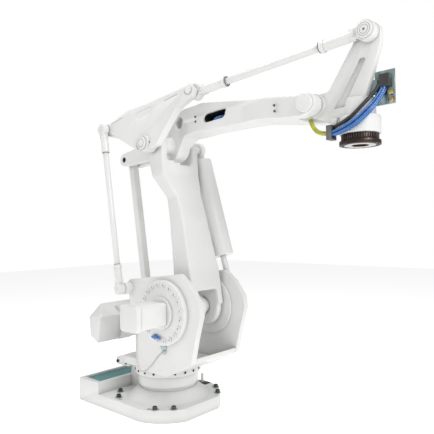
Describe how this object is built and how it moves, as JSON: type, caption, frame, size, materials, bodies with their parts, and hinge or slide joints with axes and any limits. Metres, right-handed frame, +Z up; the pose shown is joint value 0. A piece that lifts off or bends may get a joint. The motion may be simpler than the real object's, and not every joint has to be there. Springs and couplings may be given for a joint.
{
  "type": "industrial robot arm",
  "caption": "Four-axis palletizing robot arm with a turning turret, parallelogram linkages, a rear counterweight and a level wrist with a tool flange.",
  "frame": {"origin": "on the floor face of the foot, on the vertical axis that the turret turns about", "axes": "+X is the way the arm reaches, +Y is the robot's left side, +Z is up"},
  "size_m": [2.6179, 1.191, 2.5935],
  "materials": {
    "white_paint": "satin off-white paint",
    "teal_lid": "satin teal paint",
    "dark_steel": "dark browned steel",
    "bare_steel": "brushed",
    "black_plastic": "matte",
    "black_rubber": "matte",
    "brass": "satin",
    "blue_hose": "semi-gloss",
    "pale_cable": "matte",
    "yellow_green_plastic": "ribbed, matte"
  },
  "bodies": {
    "foot": {"foot_casting": "white_paint", "foot_lid": "teal_lid", "slew_ring_lower": "white_paint", "slew_ring_upper": "white_paint", "post_plate": "dark_steel", "sensor_post": "white_paint"},
    "turret": {"turret_floor": "white_paint", "near_cheek": "white_paint", "far_cheek": "white_paint", "rear_lug": "white_paint", "near_gearbox": "white_paint", "near_gear_drum": "white_paint", "near_motor_flange": "white_paint", "near_motor": "white_paint", "near_motor_cap": "white_paint", "far_gear_disc": "white_paint", "far_motor": "white_paint", "far_motor_cap": "white_paint", "motor_cable": "pale_cable"},
    "lower_arm_body": {"lower_arm": "white_paint", "elbow_axle": "white_paint"},
    "spring_case": {"spring_barrel": "white_paint"},
    "spring_shaft": {"spring_rod": "white_paint"},
    "parallel_lever": {"parallel_arm": "white_paint", "counterweight": "white_paint"},
    "lever_joint_pin": {"crank_pin": "white_paint"},
    "square_rod": {"parallel_rod": "white_paint"},
    "thin_rod_body": {"thin_rod": "white_paint", "thin_rod_foot": "white_paint", "thin_rod_head": "white_paint"},
    "link": {"link_plate": "white_paint", "link_pin": "white_paint"},
    "tie_rod_body": {"tie_rod": "white_paint", "tie_rod_rear": "white_paint", "tie_rod_front": "white_paint", "tie_cap": "white_paint"},
    "upper_arm_body": {"upper_arm": "white_paint", "lever_pin": "white_paint", "tilt_pin": "white_paint"},
    "wrist": {"tilt_house": "white_paint", "fin_pin": "white_paint", "wrist_drum": "white_paint", "hose_bracket": "bare_steel", "cable_plug": "black_plastic", "hose_fitting_1": "brass", "hose_fitting_2": "brass", "air_hose_1": "blue_hose", "air_hose_2": "blue_hose", "air_hose_3": "blue_hose", "air_hose_4": "blue_hose", "wrist_cable": "black_rubber", "hose_strap": "black_rubber", "hose_sleeve": "yellow_green_plastic"},
    "tool": {"dial_ring": "dark_steel", "tool_disc": "dark_steel"}
  },
  "joints": [
    {"name": "turret_turn", "type": "hinge", "parent": "foot", "child": "turret", "pos_m": [0, 0, 0.34], "axis": [0, 0, 1], "range_deg": [-180, 180]},
    {"name": "lower_arm_swing", "type": "hinge", "parent": "turret", "child": "lower_arm_body", "pos_m": [0.3, 0, 0.8145], "axis": [0, 1, 0], "range_deg": [-33.35, 58.65]},
    {"name": "link_level", "type": "hinge", "parent": "lower_arm_body", "child": "link", "pos_m": [0.10749, 0, 2.07994], "axis": [0, 1, 0], "range_deg": [-58.65, 33.35]},
    {"name": "upper_arm_swing", "type": "hinge", "parent": "link", "child": "upper_arm_body", "pos_m": [0.10749, 0, 2.07994], "axis": [0, 1, 0], "range_deg": [-16.11, 31.89]},
    {"name": "thin_rod_swing", "type": "hinge", "parent": "turret", "child": "thin_rod_body", "pos_m": [-0.108, -0.398, 0.9655], "axis": [0, 1, 0], "range_deg": [-33.35, 58.65]},
    {"name": "tie_rod_swing", "type": "hinge", "parent": "link", "child": "tie_rod_body", "pos_m": [0.47049, -0.114, 2.44194], "axis": [0, 1, 0], "range_deg": [-16.11, 31.89]},
    {"name": "wrist_level", "type": "hinge", "parent": "upper_arm_body", "child": "wrist", "pos_m": [1.45438, 0, 2.17153], "axis": [0, 1, 0], "range_deg": [-31.89, 16.11]},
    {"name": "parallel_lever_swing", "type": "hinge", "parent": "turret", "child": "parallel_lever", "pos_m": [0.3, 0, 0.8145], "axis": [0, 1, 0], "range_deg": [-16.11, 31.89]},
    {"name": "lever_pin_turn", "type": "hinge", "parent": "parallel_lever", "child": "lever_joint_pin", "pos_m": [-0.20727, -0.019, 0.75695], "axis": [0, 1, 0], "range_deg": [-31.89, 16.11]},
    {"name": "square_rod_swing", "type": "hinge", "parent": "lever_joint_pin", "child": "square_rod", "pos_m": [-0.20727, -0.019, 0.75695], "axis": [0, 1, 0], "range_deg": [-33.35, 58.65]},
    {"name": "spring_swing", "type": "hinge", "parent": "lower_arm_body", "child": "spring_case", "pos_m": [0.10749, 0.278, 2.07994], "axis": [0, 1, 0], "range_deg": [-3, 3]},
    {"name": "spring_slide", "type": "slide", "parent": "spring_case", "child": "spring_shaft", "axis": [0.2843, 0, -0.9587], "range_m": [-0.146, 0.084]},
    {"name": "tool_turn", "type": "hinge", "parent": "wrist", "child": "tool", "pos_m": [1.70838, 0, 1.90753], "axis": [0, 0, 1], "range_deg": [-300, 300]}
  ],
  "couplings": [
    {"joint": "link_level", "follows": "lower_arm_swing", "ratio": -1},
    {"joint": "thin_rod_swing", "follows": "lower_arm_swing", "ratio": 1},
    {"joint": "square_rod_swing", "follows": "lower_arm_swing", "ratio": 1},
    {"joint": "spring_swing", "follows": "lower_arm_swing", "ratio": 0.035},
    {"joint": "spring_slide", "follows": "lower_arm_swing", "m_per_rad": -0.1404},
    {"joint": "tie_rod_swing", "follows": "parallel_lever_swing", "ratio": 1},
    {"joint": "wrist_level", "follows": "parallel_lever_swing", "ratio": -1},
    {"joint": "upper_arm_swing", "follows": "parallel_lever_swing", "ratio": 1},
    {"joint": "lever_pin_turn", "follows": "parallel_lever_swing", "ratio": -1}
  ]
}
